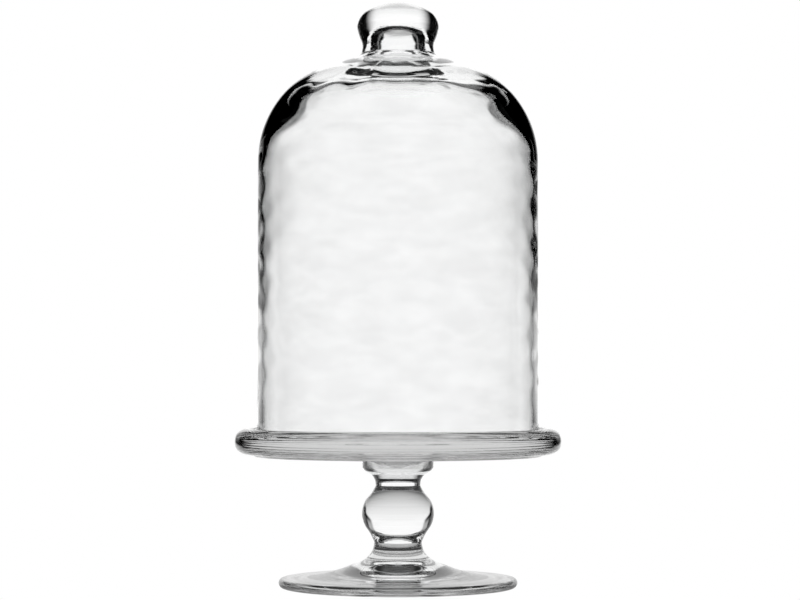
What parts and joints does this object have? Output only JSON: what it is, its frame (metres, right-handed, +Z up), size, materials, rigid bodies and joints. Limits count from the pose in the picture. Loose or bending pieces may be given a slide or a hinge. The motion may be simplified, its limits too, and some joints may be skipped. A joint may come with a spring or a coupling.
{
  "type": "cake stand with dome",
  "caption": "Clear glass footed cake stand: round plate on a ball stem, covered by a tall lift-off bell dome with a rounded knob.",
  "frame": {"origin": "on the turning axis, in the plane that the foot stands on", "axes": "+Z up along the turning axis and along the dome's lift, +X to the right and +Y to the back; every piece is round, so X and Y are free choices"},
  "size_m": [0.163, 0.163, 0.2922],
  "materials": {
    "pressed_glass": "clear, colourless, fire-polished pressed glass",
    "blown_glass": "clear, colourless blown glass with a softly dimpled wall"
  },
  "bodies": {
    "stand": {"foot": "pressed_glass", "stem_knop": "pressed_glass", "stem_collar": "pressed_glass", "plate": "pressed_glass"},
    "dome": {"dome_bell": "blown_glass", "dome_knob": "blown_glass"}
  },
  "joints": [
    {"name": "dome_lift", "type": "slide", "parent": "stand", "child": "dome", "axis": [0, 0, 1], "range_m": [0, 0.2]}
  ]
}
